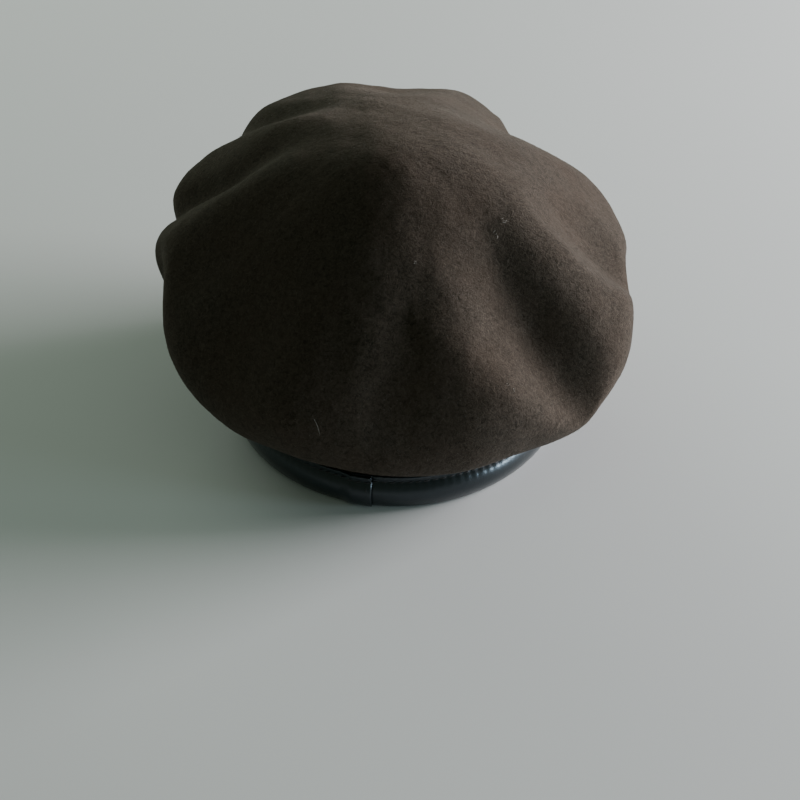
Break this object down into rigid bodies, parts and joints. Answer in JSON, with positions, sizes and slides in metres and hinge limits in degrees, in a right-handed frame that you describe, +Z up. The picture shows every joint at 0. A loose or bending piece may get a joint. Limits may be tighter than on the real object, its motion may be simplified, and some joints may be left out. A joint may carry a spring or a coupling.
{
  "type": "beret",
  "caption": "Soft wool felt beret with a slouched, folded crown, a leather binding round the head opening, a sizing tape in its hem and a lining.",
  "frame": {"origin": "centre of the head opening, on the plane of the leather band's bottom edge", "axes": "+Z up, from the band to the crown; +Y towards the wearer's front; +X towards the wearer's right"},
  "size_m": [0.2383, 0.2549, 0.1379],
  "materials": {
    "felt": "matt, raised wool nap",
    "leather": "smooth black, satin",
    "thread": "twisted polyester",
    "lining": "satin weave",
    "tape": "flat woven cotton",
    "label": "woven, blank"
  },
  "bodies": {
    "root": {"felt_crown": "felt", "leather_binding": "leather", "sizing_tape": "tape", "binding_needle_thread": "thread", "binding_bobbin_thread": "thread", "lap_thread": "thread", "lining_top": "lining", "lining_side": "lining", "lining_seam_thread": "thread", "size_label": "label", "label_thread": "thread"}
  },
  "joints": []
}
